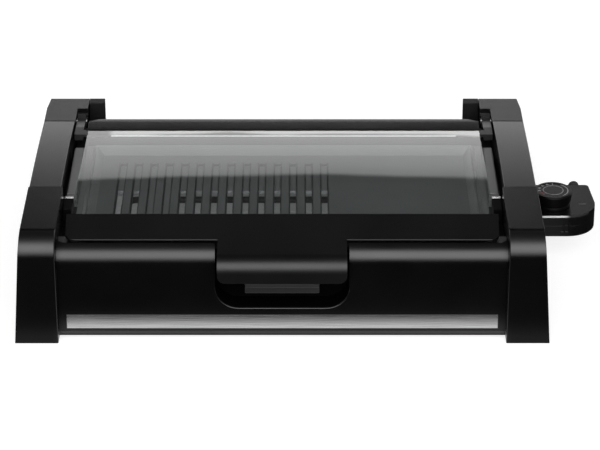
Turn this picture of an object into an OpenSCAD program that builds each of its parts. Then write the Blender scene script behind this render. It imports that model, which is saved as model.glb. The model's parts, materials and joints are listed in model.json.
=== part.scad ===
// Electric indoor grill with a hinged glass lid and a plug-in temperature control.
// Millimetres. X runs to the right, Y from the front to the back, Z up.
// Pieces are drawn from the body's centre plane, the pillars' front face and the table,
// and place() then moves the origin to the bottom centre of the whole object.

/* [Body] */
// Width over the pillars at the table
body_w = 530; // [500:1:600]
// Depth from the pillars' front face to the back
body_d = 353; // [345:1:385]
// Height of the pillars' front block
body_h = 117; // [115:1:124]
// Lean of the pillars' outer faces, in degrees
side_draft = 4; // [2:0.5:6]
// Width of a pillar at the table
pillar_w = 43; // [40:1:52]
// Radius of the pillars' rounded front top edge
corner_r = 23; // [16:1:25]
// Wall of the plastic shells
wall = 2.5; // [2:0.1:3]
// Air below the pillar shells, which the feet fill
foot_gap = 0.4; // [0.3:0.1:2]
// Height of the handle covers at their front ends, over the shoulder that carries them
cover_h = 44.5; // [40:0.5:48]
// Where the pillars' front block ends
block_y = 113.5; // [106:0.5:124]
// Depth of the hinge caps, from the handle covers to the back
cap_d = 62; // [58:1:66]
// Fall of the handle cover from front to back
cover_fall = 9; // [6:0.5:11]
// How far the covers and caps stand in from the pillars' outer faces
cover_inset = 0.8; // [0.4:0.1:1.5]
// How much narrower a hinge cap is at the back
cap_taper = 2.5; // [1:0.5:4]
// Gap at the seams between the segments
seam = 0.3; // [0.2:0.05:0.5]

/* [Front panel] */
// How far the front panel stands back from the pillars' front face
panel_setback = 9; // [7:0.5:12]
// How far the front panel's top lies below the pillars' top
panel_drop = 13.4; // [12:0.1:16]
// Radius of its rounded top edge
panel_r = 20; // [16:1:22]
// Depth of the lid's recess in the front panel's top
recess_d = 6.6; // [5.6:0.1:8]
// Height of the steel trim strip
trim_h = 14.5; // [8:0.5:18]
// Thickness of the steel trim strip
trim_t = 0.7; // [0.5:0.1:1.2]
// Height of the trim's lower edge
trim_z = 13; // [12:0.5:15]
// Width of the finger pocket
pocket_w = 132; // [120:1:150]
// Height of the finger pocket's bottom
pocket_z = 35.5; // [32:0.5:42]
// Radius of the pocket's lower corners
pocket_r = 23; // [10:1:28]
// Depth of the finger pocket from the panel's face
pocket_d = 25; // [22:1:28]
// How far the lip along the panel's foot stands out
lip_out = 2; // [1:0.5:4]

/* [Lid] */
// How far the glass's top face lies below the pillars' top
glass_drop = 5; // [4:0.5:6]
// Thickness of the glass
glass_t = 4; // [3:0.5:4]
// Where the visible glass begins
glass_y = 63.5; // [60:0.5:68]
// Height of the lid's front edge above the front panel
lid_edge_rise = 0.8; // [0.4:0.1:1.9]
// How far the lid's front edge lies behind the front panel's face
lid_edge_in = 14.5; // [14.3:0.1:16]
// How much wider the glass is at its front, on each side
glass_taper = 4; // [0:0.5:4.3]
// Gap between the lid and the pillars
lid_side_gap = 8.5; // [7:0.5:9]
// Width of the tongue handle
tongue_w = 127; // [100:1:128]
// Front face of the tongue handle, ahead of the pillars
tongue_out = 12; // [8:0.5:16]
// Height of the tongue, from its lower end to the lid's front edge
tongue_h = 30.4; // [28:0.2:32]
// Radius of the tongue's bend
tongue_r = 16; // [13:0.5:17]
// Width of the liner under the tongue
liner_w = 73; // [60:1:80]
// Depth of the liner's sloping underside
liner_d = 10; // [8:0.5:12]
// Height of the liner's sloping underside
liner_h = 8.4; // [7:0.1:10]
// Length of the liner's lip below its slope
liner_lip = 6.6; // [5:0.1:8]
// Thickness of the rubber gaskets under the glass
gasket_t = 1; // [0.8:0.1:1.4]
// Depth of the lid's rear bar
bar_d = 25; // [23:0.5:27]
// Height of the rear bar above the glass
bar_rise = 1.4; // [1:0.1:3]
// Depth of the rear bar's level top, behind its slope
bar_flat = 8; // [5:0.5:12]
// Distance from the rear bar's back to the hinge axis
bar_gap = 27; // [25:0.5:29]

/* [Hinge] */
// How far the hinge axis lies below the top of the hinge caps
hinge_drop = 10.5; // [9.5:0.5:12]
// Distance of the hinge axis behind the seam of the caps
hinge_back = 23; // [21:0.5:25]
// Radius of the hinge pins
pin_r = 3; // [2.5:0.1:3.5]
// Radius of the arms' barrels
barrel_r = 6; // [5.5:0.1:6.2]
// Width of the hinge arms
arm_w = 9; // [6:0.1:9.4]
// Gap on each side of a hinge arm in its notch
arm_gap = 1; // [0.5:0.1:1.5]
// Running clearance on a shaft's radius
run = 0.05; // [0.02:0.01:0.08]
// Angle of the fully open lid
lid_open = 98; // [90:1:105]

/* [Grill plate] */
// Gap between the plate and the pillars
plate_gap = 22; // [21:0.5:26]
// Distance of the plate from the front panel's back
plate_front = 10; // [9:1:14]
// Distance of the plate from the line of the hinge caps
plate_back = 23; // [20:1:30]
// How far the plate's underside lies below the deck
plate_drop = 10; // [8:0.5:12]
// Thickness of the plate below the grooves
plate_t = 4; // [3:0.5:5]
// Height of the ribs
rib_h = 4; // [3:0.5:5]
// Height of the plate's rim above the ribs
rim_h = 8; // [6:0.5:9]
// Distance between grooves
rib_pitch = 16.3; // [15:0.1:18]
// Number of grooves
rib_count = 14; // [8:1:14]
// Width of a groove at its bottom
groove_w = 6.4; // [6.1:0.1:7]
// Width of a drip slot
slot_w = 6; // [4:0.1:6]
// Distance of the drip slots from the plate's rear edge
slot_back = 85; // [68:1:105]
// Distance of the grooves from the plate's rear edge
groove_back = 27; // [22:1:50]

/* [Base inside] */
// How far the deck around the plate lies below the hinge axis
deck_drop = 13; // [12:0.5:14]
// Thickness of the deck
deck_t = 3; // [2.5:0.1:3.5]
// Height of the floor's underside
floor_z = 6; // [5:0.5:7]
// Thickness of the floor
floor_t = 3; // [2.5:0.1:3.5]
// Thickness of the heat shield
shield_t = 1; // [0.8:0.1:1.2]
// Height of the side rails above the deck
rail_h = 16; // [10:0.5:17]
// Distance of the side rails from the pillars' front block
rail_front = 20.5; // [12:0.5:30]
// Distance of the side rails from the line of the plate's rear edge
rail_back = 27; // [22:1:38]
// Thickness of the drip tray
tray_t = 1.2; // [0.8:0.1:1.6]
// Height of the drip tray
tray_h = 20; // [12:1:22]
// Radius of the heating element
element_r = 3.5; // [3:0.1:3.7]
// How far the heating element's middle lies below the plate
element_drop = 10; // [8:0.5:11]

/* [Temperature control] */
// Distance from the control's middle to the back
ctl_back = 156; // [150:1:163]
// Height of the terminals and of the control's parting line
ctl_z = 48; // [47:0.5:49]
// Thickness of the control
ctl_t = 24; // [23:0.5:26]
// Width of the control outside the pillar
ctl_w = 72; // [66:1:78]
// How far the control stands out of the body
ctl_out = 61; // [58:1:68]
// Width of the nose that plugs into the body
nose_w = 50; // [46:1:54]
// Distance between the two terminal pins
pin_pitch = 28; // [26:0.5:30]
// Radius of the terminal pins
term_r = 2.5; // [2:0.1:2.6]
// Radius of the sensor probe
probe_r = 2.5; // [2:0.1:2.8]
// Radius of the knob
knob_r = 20; // [17:0.5:20.2]
// Height of the knob
knob_h = 16; // [12:0.5:20]
// Radius of the knob's spindle
spindle_r = 3; // [2.5:0.1:3.5]
// Radius of the cord's bore in the gland
cord_r = 3.6; // [3:0.1:4]

/* [Hidden] */
$fn = 48;

// Colours
BLACK = [0.03, 0.03, 0.03];
SATIN = [0.06, 0.06, 0.06];
DARK = [0.015, 0.015, 0.015];
GREY = [0.20, 0.20, 0.20];
STEEL = [0.62, 0.62, 0.62];
TRAY = [0.70, 0.70, 0.71];
RUBBER = [0.05, 0.05, 0.05];
CERAMIC = [0.85, 0.83, 0.78];
BRASS = [0.70, 0.58, 0.32];
CLEAR = [0.75, 0.80, 0.80, 0.35];

// Small amounts used all over
eps = 0.01;
gap = 0.3;
arc_n = 9;

// Body
half_w = body_w / 2;
inner_x = half_w - pillar_w;
panel_x = inner_x - gap;
cover_top = body_h - 0.5;
cover_rear_z = cover_top - cover_fall;
shoulder_z = cover_top - cover_h;
cap_y = body_d - cap_d;
cap_fall = 1.5;
cap_inner_x = inner_x - 9.5;
foot_t = 2.7;
foot_r = 9;
foot_seat = 1.5;
boss_r = 4.5;
leg_boss_x = (half_w + inner_x) / 2;
foot_in = 24;
foot_y = [foot_in, body_d - foot_in];
boss_gap = 7;
nose_clear = 1.5;
ctl_y = body_d - ctl_back;
boss_y = [block_y / 2, ctl_y + nose_w / 2 + boss_gap + boss_r + nose_clear];
screw_r = 1.85;
screw_head_r = 3.6;
screw_len = 12;

// Front panel and its recess for the lid
panel_y = panel_setback;
panel_back = panel_y + 35;
panel_h = body_h - panel_drop;
recess_z = panel_h - recess_d;
panel_bottom = 5.4;
lip_h = 2;
trim_w = 2 * (panel_x - 8.2);
lid_x = inner_x - lid_side_gap;
lid_taper = 1.5;
recess_gap = 2.5;
recess_r = 10;
recess_x = panel_x + 1;
pocket_back = panel_y + pocket_d;

// Lid
glass_top = body_h - glass_drop;
glass_z = glass_top - glass_t;
ledge_z = glass_z - gasket_t;
ledge_d = 9;
glass_x = lid_x - 7;
glass_gap = 0.3;
hinge_y = cap_y + hinge_back;
hinge_z = cover_rear_z - hinge_drop;
bar_y1 = hinge_y - bar_gap;
bar_y0 = bar_y1 - bar_d;
bar_top = glass_top + bar_rise;
bar_bottom = ledge_z - 3;
lid_clip = bar_top + 1;
bar_slot = 14;
bar_edge = 4;
bar_corner_x = 18;
bar_corner_y = 9;
lid_edge_y = panel_y + lid_edge_in;
lid_edge_z = panel_h + lid_edge_rise;
lid_slope = atan((glass_top - lid_edge_z) / (glass_y - lid_edge_y));
lid_skin = 2.5;
tongue_y = -tongue_out;
tongue_z = lid_edge_z - tongue_h;
tongue_c = [tongue_y + tongue_r,
    lid_edge_z + (tongue_y + tongue_r - lid_edge_y) * tan(lid_slope) - tongue_r / cos(lid_slope)];
tongue_skin = 3;
tongue_corner = 8;
liner_drop = 2.6;
liner_t = 2.4;
bumper_x = lid_x - 22;
bumper_y = glass_y - 13.5;
bumper_r = 4;
bumper_h = 4;

// Hinge
deck_z = hinge_z - deck_drop;
arm_x1 = inner_x + 1.5 - arm_gap;
arm_x0 = arm_x1 - arm_w;
notch_x1 = arm_x1 + arm_gap;
notch_x0 = cap_inner_x - 1;
notch_back = 11.6;
lap_z = deck_z + 2;
stop_back = barrel_r + 2;
heel_len = stop_back - 0.3;
heel_w = 3;
pin_x1 = notch_x1 + 7.5;
tab_t = 3;
tab_x = lid_x - 30;
tab_y0 = bar_y0 + 3;
tab_y1 = bar_y1 - 11;
screw_y = (tab_y0 + tab_y1) / 2;
screw_xs = [tab_x + 6, glass_x - 3.5];

// Plate, shield and tray
plate_x = inner_x - plate_gap;
plate_y0 = panel_back + plate_front;
plate_y1 = cap_y - plate_back;
plate_z = deck_z - plate_drop;
slot_y1 = plate_y1 - slot_back;
groove_y1 = plate_y1 - groove_back;
element_z = plate_z - element_drop;
plate_top = plate_z + plate_t + rib_h;
rim_z = plate_top + rim_h;
rim_t = 2;
rim_slope = 7;
shield_x = plate_x + 5;
shield_y0 = plate_y0 - 4;
shield_y1 = plate_y1 + 4;
shield_z = floor_z + floor_t + 2;
deck_open = 2.5;
flange_w = 5;
deck_y0 = panel_back + gap;
deck_y1 = hinge_y - 11;
rear_step_z = 59;
ear_d = 12;
groove_x0 = -plate_x + 31;
groove_y0 = plate_y0 + 14;
groove_flare = 1.2;
no_slot = [2, 3];
tray_gap = 8;
rail_y0 = block_y + rail_front;
rail_y1 = plate_y1 - rail_back;
rail_x0 = inner_x - 11.8;
rail_x1 = inner_x - 1.7;
support_in = 36;
support_y = [plate_y0 + support_in, plate_y1 - support_in];

// Control
ctl_x0 = inner_x - 8.5;
ctl_x1 = half_w + ctl_out;
ctl_y0 = ctl_y - ctl_w / 2;
ctl_y1 = ctl_y + ctl_w / 2;
ctl_z0 = ctl_z - ctl_t / 2;
ctl_z1 = ctl_z + ctl_t / 2;
ctl_step = half_w - ctl_z0 * tan(side_draft) + gap;
ctl_wall = 2.5;
ctl_r_front = 30;
ctl_r_back = 4;
ctl_taper = 3;
nose_drop = 1;
grip_in = 37.5;
grip_w = 3.2;
grip_pitch = 4.6;
knob_x = half_w + 16.4;
knob_y = ctl_y0 + 27;
knob_gap = 0.6;
knob_z0 = ctl_z1 + knob_gap;
knob_z1 = knob_z0 + knob_h;
sleeve_r = 4;
sleeve_x1 = ctl_x0 + 26;
term_x0 = shield_x - 5;
term_x1 = ctl_x0 + 22.5;
bush_r = 4.6;
guard_t = 1.2;
socket_r = 5;
socket_x0 = shield_x - 27;
therm_x1 = knob_x + 14;
therm_h = 14;
gland_r = 6;
gland_x = ctl_x1 - 17;
gland_z = ctl_z + 3;
gland_out = 15;

// Origin at the bottom centre of the whole object
mid_x = (ctl_x1 - half_w) / 2;
mid_y = (body_d - tongue_out) / 2;

module place() { translate([-mid_x, -mid_y, 0]) children(); }

// Points on an arc from angle a0 to a1 about c
function arc(c, r, a0, a1, n = arc_n) =
    [for (i = [0:n]) let (a = a0 + (a1 - a0) * i / n) c + r * [cos(a), sin(a)]];

// Height of the lid's sloping top at y
function lid_line(y) = lid_edge_z + (y - lid_edge_y) * tan(lid_slope);

// Prism of a [y, z] outline between two x
module along_x(x0, x1) { translate([x0, 0, 0]) rotate([90, 0, 90]) linear_extrude(x1 - x0) children(); }
// Prism of an [x, z] outline between two y
module along_y(y0, y1) { translate([0, y1, 0]) rotate([90, 0, 0]) linear_extrude(y1 - y0) children(); }
// Prism of an [x, y] outline between two z
module along_z(z0, z1) { translate([0, 0, z0]) linear_extrude(z1 - z0) children(); }
// Block between two corners
module block(a, b) { translate(a) cube(b - a); }
module rod_x(x0, x1, y, z, r) { translate([x0, y, z]) rotate([0, 90, 0]) cylinder(h = x1 - x0, r = r); }
module rod_y(y0, y1, x, z, r) { translate([x, y1, z]) rotate([90, 0, 0]) cylinder(h = y1 - y0, r = r); }
module rod_z(z0, z1, x, y, r) { translate([x, y, z0]) cylinder(h = z1 - z0, r = r); }
// Draws left-hand geometry, or its mirror image on the right
module on_side(side) { mirror([side > 0 ? 1 : 0, 0, 0]) children(); }

// Outer face of a pillar at height z, d inside its surface
function pillar_x(z, d) = -half_w + z * tan(side_draft) + d / cos(side_draft);

// Outline of a pillar from the front, d inside its surface
function pillar_section(z0, z1, d, inner) =
    [[pillar_x(z0, d), z0], [pillar_x(z1, d), z1], [-inner, z1], [-inner, z0]];

// Outline of a leg from the side, d inside its surface
function leg_outline(z0, d) = concat(
    [[d, z0]],
    arc([corner_r, body_h - corner_r], corner_r - d, 180, 90),
    [[block_y - d, body_h - d], [block_y - d, shoulder_z - d],
    [body_d - d, shoulder_z - d], [body_d - d, z0]]);

module leg_body(z0, d) {
    intersection() {
        along_x(-half_w - 1, -inner_x + 1) polygon(leg_outline(z0, d));
        along_y(-1, body_d + 1) polygon(pillar_section(z0, body_h + 1, d, inner_x + d));
    }
}

module leg_bosses() {
    for (i = [0:1])
        rod_z(foot_gap + foot_t, (i == 0 ? body_h : shoulder_z) - wall + eps,
            -leg_boss_x, boss_y[i], boss_r);
}

module leg_shell() {
    difference() {
        union() {
            difference() {
                leg_body(foot_gap, 0);
                leg_body(foot_gap - 1, wall);
            }
            leg_bosses();
        }
        for (y = boss_y)
            rod_z(0, foot_gap + foot_seat + screw_len, -leg_boss_x, y, screw_r + run);
    }
}

// Opening for the control's nose through both walls of the right leg
module nose_opening(clear) {
    block([inner_x - 1, ctl_y - nose_w / 2 - clear, ctl_z0 + nose_drop - clear],
        [half_w + 1, ctl_y + nose_w / 2 + clear, ctl_z1 - nose_drop + clear]);
}

module left_leg() { color(BLACK) place() leg_shell(); }

module right_leg() {
    color(BLACK) place() difference() {
        on_side(1) leg_shell();
        nose_opening(nose_clear);
    }
}

module foot_plate() {
    fit = wall + gap / 2;
    difference() {
        intersection() {
            along_x(-half_w, -inner_x) polygon(leg_outline(foot_gap, fit));
            along_y(-1, body_d + 1)
                polygon(pillar_section(foot_gap, foot_gap + foot_t, fit, inner_x + fit));
        }
        for (y = foot_y)
            rod_z(foot_gap - 1, foot_gap + foot_seat, -leg_boss_x, y, foot_r + 0.1);
        for (y = boss_y) {
            rod_z(foot_gap - 1, foot_gap + foot_seat, -leg_boss_x, y, screw_head_r + 0.2);
            rod_z(foot_gap, foot_gap + foot_t + 1, -leg_boss_x, y, screw_r + 0.2);
        }
    }
}

module left_foot_plate() { color(SATIN) place() foot_plate(); }
module right_foot_plate() { color(SATIN) place() on_side(1) foot_plate(); }

module rubber_feet() {
    color(RUBBER) place() for (s = [-1, 1], y = foot_y)
        rod_z(0, foot_gap + foot_seat, s * leg_boss_x, y, foot_r);
}

module leg_screws() {
    color(STEEL) place() for (s = [-1, 1], y = boss_y) {
        rod_z(foot_gap + 0.2, foot_gap + foot_seat, s * leg_boss_x, y, screw_head_r);
        rod_z(foot_gap + foot_seat, foot_gap + screw_len, s * leg_boss_x, y, screw_r);
    }
}

// Outline of a handle cover from the side, d inside its surface
function cover_outline(z0, d) = concat(
    [[block_y + seam + d, z0]],
    [for (i = [0:arc_n]) let (t = i / arc_n)
        [block_y + seam + d + (cap_y - block_y - 2 * seam - 2 * d) * t,
        cover_top - cover_fall * t * t - d]],
    [[cap_y - seam - d, z0]]);

module cover_body(z0, d) {
    intersection() {
        along_x(-half_w, -inner_x) polygon(cover_outline(z0, d));
        along_y(block_y, cap_y)
            polygon(pillar_section(z0, body_h, cover_inset + d, inner_x + 2 + d));
    }
}

module handle_cover() {
    difference() {
        cover_body(shoulder_z, 0);
        cover_body(shoulder_z - 1, wall);
    }
}

module left_handle_cover() { color(SATIN) place() handle_cover(); }
module right_handle_cover() { color(SATIN) place() on_side(1) handle_cover(); }

// Hinge cap: block over the shoulder, with an inner part over the deck and a notch for the arm
module hinge_cap() {
    top = cover_rear_z;
    difference() {
        intersection() {
            along_x(-half_w, -cap_inner_x) polygon([[cap_y, shoulder_z], [cap_y, top],
                [body_d - 0.6, top - cap_fall], [body_d, top - cap_fall - 0.6], [body_d, shoulder_z]]);
            union() {
                along_y(cap_y, body_d)
                    polygon(pillar_section(shoulder_z, body_h, cover_inset, inner_x));
                along_y(cap_y, body_d)
                    polygon(pillar_section(lap_z, body_h, cover_inset, cap_inner_x));
            }
            along_z(0, body_h) polygon([[pillar_x(shoulder_z, 0), cap_y],
                [pillar_x(body_h, cap_taper), body_d], [-cap_inner_x, body_d],
                [-cap_inner_x, cap_y]]);
        }
        block([-notch_x1, cap_y - 1, shoulder_z - 1], [-notch_x0, hinge_y + stop_back, body_h]);
        block([-notch_x1, cap_y, hinge_z + 3], [-notch_x0, hinge_y + notch_back, body_h]);
        block([pillar_x(body_h, cover_inset + cap_taper + wall), cap_y + wall, shoulder_z - 1],
            [-pin_x1 - 1, body_d - wall, top - cap_fall - wall]);
        rod_x(-pin_x1, -cap_inner_x + 1, hinge_y, hinge_z, pin_r + run);
    }
}

module left_hinge_cap() { color(SATIN) place() hinge_cap(); }
module right_hinge_cap() { color(SATIN) place() on_side(1) hinge_cap(); }

module hinge_pins() {
    color(STEEL) place() for (s = [-1, 1])
        on_side(s) rod_x(-pin_x1 + 0.1, -cap_inner_x - 0.2, hinge_y, hinge_z, pin_r);
}

// Outline of the front panel from the side
function panel_outline() = concat(
    [[panel_y + wall, panel_bottom], [panel_y - lip_out + 0.6, panel_bottom],
    [panel_y - lip_out, panel_bottom + 0.6], [panel_y - lip_out, panel_bottom + lip_h],
    [panel_y, panel_bottom + lip_h + lip_out]],
    arc([panel_y + panel_r, panel_h - panel_r], panel_r, 180, 90),
    [[panel_back, panel_h], [panel_back, recess_z - 35], [panel_back - wall, recess_z - 35],
    [panel_back - wall, recess_z - wall]],
    arc([panel_y + panel_r, panel_h - panel_r], panel_r - wall,
        180 - asin((recess_z - wall - panel_h + panel_r) / (panel_r - wall)), 180));

// Outline of the lid's recess seen from above, open towards both pillars
function recess_outline() = concat(
    [[recess_x, panel_back + 1], [-recess_x, panel_back + 1]],
    arc([-recess_x + recess_r, lid_edge_y - recess_gap + recess_r], recess_r, 180, 270),
    arc([recess_x - recess_r, lid_edge_y - recess_gap + recess_r], recess_r, 270, 360));

// Outline of the finger pocket from the front, d outside its surface
function pocket_outline(d, top) = concat(
    [[pocket_w / 2 + d, top], [-pocket_w / 2 - d, top]],
    arc([-pocket_w / 2 + pocket_r, pocket_z + pocket_r], pocket_r + d, 180, 270),
    arc([pocket_w / 2 - pocket_r, pocket_z + pocket_r], pocket_r + d, 270, 360));

module front_panel() {
    color(BLACK) place() difference() {
        along_x(-panel_x, panel_x) polygon(panel_outline());
        along_z(recess_z, panel_h + 1) polygon(recess_outline());
        along_y(panel_y - lip_out - 1, lid_edge_y - recess_gap + eps)
            polygon(pocket_outline(0, panel_h + 1));
    }
}

module finger_pocket() {
    y0 = panel_y + wall + gap;
    top = recess_z - wall - gap;
    color(DARK) place() difference() {
        intersection() {
            along_y(y0, pocket_back + wall) polygon(pocket_outline(wall, top));
            along_x(-inner_x, inner_x) polygon([[y0, pocket_z - wall], [y0, panel_h - panel_r - 1.5],
                [panel_y + panel_r * 0.38, top], [pocket_back + wall, top],
                [pocket_back + wall, pocket_z - wall]]);
        }
        along_y(y0 - 1, pocket_back) polygon(pocket_outline(0, panel_h));
    }
}

module front_trim() {
    color(STEEL) place()
        block([-trim_w / 2, panel_y - trim_t, trim_z], [trim_w / 2, panel_y, trim_z + trim_h]);
}

// Rear panel, low in the middle, with an upright ear behind each hinge cap and a step up to the deck
module rear_panel() {
    ear_x0 = cap_inner_x - 17;
    ear_x1 = cap_inner_x - gap;
    ear_z = cover_rear_z - cap_fall;
    side_z = lap_z - gap;
    under_deck = deck_z - deck_t - gap;
    step_y = deck_y1 - 1;
    color(DARK) place() difference() {
        union() {
            along_y(body_d - wall, body_d) polygon([[-panel_x, floor_z], [-panel_x, side_z],
                [-ear_x0, side_z], [-ear_x0, rear_step_z], [ear_x0, rear_step_z], [ear_x0, side_z],
                [panel_x, side_z], [panel_x, floor_z]]);
            for (s = [-1, 1]) on_side(s)
                block([-ear_x1, body_d - ear_d, rear_step_z - wall], [-ear_x0, body_d, ear_z]);
            along_x(-panel_x, panel_x) polygon([[step_y - wall, rear_step_z - wall],
                [body_d - eps, rear_step_z - wall], [body_d - eps, rear_step_z],
                [step_y, rear_step_z], [step_y, under_deck], [step_y - wall, under_deck]]);
        }
        for (i = [-6:6])
            block([i * 22 - 7, body_d - wall - 1, 40], [i * 22 + 7, body_d + 1, 44]);
    }
}

module base_floor() {
    pad_in = 48;
    vent_y = (shield_y0 + shield_y1) / 2;
    color(SATIN) place() difference() {
        union() {
            block([-panel_x, panel_y + wall + gap, floor_z],
                [panel_x, body_d - wall - gap, floor_z + floor_t]);
            for (s = [-1, 1], y = [shield_y0 + pad_in, shield_y1 - pad_in])
                rod_z(floor_z + floor_t - eps, shield_z, s * (shield_x - 85), y, 8);
        }
        for (i = [-8:8], y = [vent_y - 25, vent_y + 25])
            block([i * 12 - 2, y - 16, floor_z - 1], [i * 12 + 2, y + 16, floor_z + floor_t + 1]);
    }
}

module deck_frame() {
    color(BLACK) place() difference() {
        block([-panel_x, deck_y0, deck_z - deck_t], [panel_x, deck_y1, deck_z]);
        block([-shield_x - deck_open, shield_y0 - deck_open, deck_z - deck_t - 1],
            [shield_x + deck_open, shield_y1 + deck_open, deck_z + 1]);
    }
}

module side_rail() {
    difference() {
        along_y(rail_y0, rail_y1) polygon([[-rail_x1, deck_z], [-rail_x1, deck_z + rail_h - 1],
            [-rail_x1 + 1, deck_z + rail_h], [-rail_x0 - 1, deck_z + rail_h],
            [-rail_x0, deck_z + rail_h - 1], [-rail_x0, deck_z]]);
        block([-rail_x1 + 2, rail_y0 + 2, deck_z - 1], [-rail_x0 - 2, rail_y1 - 2, deck_z + rail_h - 2]);
    }
}

module left_side_rail() { color(GREY) place() side_rail(); }
module right_side_rail() { color(GREY) place() on_side(1) side_rail(); }

// Sheet steel pan below the plate, hung in the deck by its flange
module heat_shield() {
    color(GREY) place() difference() {
        union() {
            block([-shield_x, shield_y0, shield_z], [shield_x, shield_y1, deck_z + shield_t]);
            block([-shield_x - flange_w, shield_y0 - flange_w + 1, deck_z],
                [shield_x + flange_w, shield_y1 + flange_w - 1, deck_z + shield_t]);
        }
        block([-shield_x + shield_t, shield_y0 + shield_t, shield_z + shield_t],
            [shield_x - shield_t, shield_y1 - shield_t, deck_z + shield_t + 1]);
        block([shield_x - shield_t - 1, ctl_y - pin_pitch / 2 - 7, ctl_z - 9],
            [shield_x + 1, ctl_y + pin_pitch / 2 + 7, ctl_z + 9]);
    }
}

module drip_tray() {
    x1 = shield_x - shield_t - tray_gap;
    y0 = shield_y0 + shield_t + tray_gap;
    y1 = shield_y1 - shield_t - tray_gap;
    z0 = shield_z + shield_t + gap;
    lip = 5;
    color(TRAY) place() difference() {
        union() {
            block([-x1, y0, z0], [x1, y1, z0 + tray_h]);
            block([-x1 - lip, y0 - lip, z0 + tray_h - tray_t], [x1 + lip, y1 + lip, z0 + tray_h]);
        }
        block([-x1 + tray_t, y0 + tray_t, z0 + tray_t], [x1 - tray_t, y1 - tray_t, z0 + tray_h + 1]);
    }
}

// Four angle brackets on the shield's walls, under the plate's corners
module plate_supports() {
    t = 1.5;
    tab = 18;
    x1 = shield_x - shield_t;
    color(STEEL) place() for (s = [-1, 1], y = support_y) on_side(s) {
        block([-x1, y - 8, plate_z - 20], [-x1 + t, y + 8, plate_z - gap]);
        block([-x1, y - 8, plate_z - gap - t], [-x1 + tab, y + 8, plate_z - gap]);
    }
}

// Pan shape between two half widths, for the plate's outside and inside
module pan(x0, x1, y0, y1, z0, zs, z1, slope) {
    intersection() {
        along_y(y0 - 1, y1 + 1) polygon([[x0 + slope, z0], [x0, zs], [x0, z1],
            [x1, z1], [x1, zs], [x1 - slope, z0]]);
        along_x(x0 - 1, x1 + 1) polygon([[y0 + slope, z0], [y0, zs], [y0, z1],
            [y1, z1], [y1, zs], [y1 - slope, z0]]);
    }
}

module groove(i) {
    x = groove_x0 + i * rib_pitch;
    z = plate_z + plate_t;
    top_w = groove_w + groove_flare;
    along_y(groove_y0, groove_y1) polygon([[x - groove_w / 2, z], [x + groove_w / 2, z],
        [x + top_w / 2, plate_top + eps], [x - top_w / 2, plate_top + eps]]);
    if (len(search(i, no_slot)) == 0)
        block([x - slot_w / 2, groove_y0 + 2, plate_z - 1], [x + slot_w / 2, slot_y1, z + 1]);
}

module grill_plate() {
    color(BLACK) place() difference() {
        pan(-plate_x, plate_x, plate_y0, plate_y1, plate_z, plate_top, rim_z, rim_slope);
        pan(-plate_x + rim_t, plate_x - rim_t, plate_y0 + rim_t, plate_y1 - rim_t,
            plate_top, rim_z - 0.5, rim_z + 1, rim_slope);
        for (i = [0:rib_count - 1]) groove(i);
    }
}

// Middle line of the heating element, from the rear terminal round to the front one
element_x = plate_x - 35;
element_y0 = plate_y0 + 36;
element_y1 = slot_y1 + 7;
element_bend = 14;
pin_ya = ctl_y + pin_pitch / 2;
pin_yb = ctl_y - pin_pitch / 2;
rise_x = element_x + 9;
function in_plane(pts) = [for (p = pts) [p[0], p[1], element_z]];
element_path = concat(
    [[term_x0, pin_ya, ctl_z], [term_x0 - 10, pin_ya, ctl_z],
    [rise_x + 4, pin_ya, (ctl_z + element_z) / 2], [rise_x - 6, pin_ya, element_z],
    [rise_x - 16, pin_ya - 4, element_z], [rise_x - 30, element_y1 + 2, element_z],
    [rise_x - 40, element_y1, element_z]],
    in_plane(arc([-element_x + element_bend, element_y1 - element_bend], element_bend, 90, 180, 6)),
    in_plane(arc([-element_x + element_bend, element_y0 + element_bend], element_bend, 180, 270, 6)),
    in_plane(arc([element_x + 20 - element_bend, element_y0 + element_bend], element_bend, -90, 0, 6)),
    [[element_x + 20, pin_yb - 26, element_z], [element_x + 21, pin_yb - 12, (ctl_z + element_z) / 2],
    [element_x + 25, pin_yb - 3, ctl_z + 1], [term_x0 - 6, pin_yb, ctl_z], [term_x0, pin_yb, ctl_z]]);

function unit(v) = v / norm(v);
// Direction of a path at its i-th point
function path_dir(p, i) = unit(p[min(i + 1, len(p) - 1)] - p[max(i - 1, 0)]);

// Tube of n sides along a path, square to it, closed at both ends
module tube(path, r, n = 10) {
    m = len(path);
    rings = [for (i = [0:m - 1]) let (
        d = i == 0 || i == m - 1 ? [1, 0, 0] * sign(path_dir(path, i)[0]) : path_dir(path, i),
        u = unit(cross(d, [0, 0, 1])), v = cross(u, d))
        for (k = [0:n - 1]) path[i] + r * (cos(360 * k / n) * u + sin(360 * k / n) * v)];
    sides = [for (i = [0:m - 2], k = [0:n - 1]) let (a = i * n + k, b = i * n + (k + 1) % n)
        each [[a, b, a + n], [b, b + n, a + n]]];
    start = [for (k = [1:n - 2]) [0, k + 1, k]];
    end = [for (k = [1:n - 2]) (m - 1) * n * [1, 1, 1] + [0, k, k + 1]];
    polyhedron(points = rings, faces = concat(sides, start, end));
}

module heating_element() { color(STEEL) place() tube(element_path, element_r); }

// Clips that hang the element below the plate, in the rows without drip slots
module element_clips() {
    xs = [groove_x0 + 2.5 * rib_pitch, plate_x / 2];
    color(STEEL) place() for (x = xs, y = [element_y0, element_y1]) difference() {
        block([x - 4, y - 7, element_z - 6], [x + 4, y + 7, plate_z]);
        rod_x(x - 5, x + 5, y, element_z, element_r + 0.1);
    }
}

module terminal_pins() {
    color(BRASS) place() for (s = [-1, 1])
        rod_x(term_x0, term_x1, ctl_y + s * pin_pitch / 2, ctl_z, term_r);
}

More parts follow.
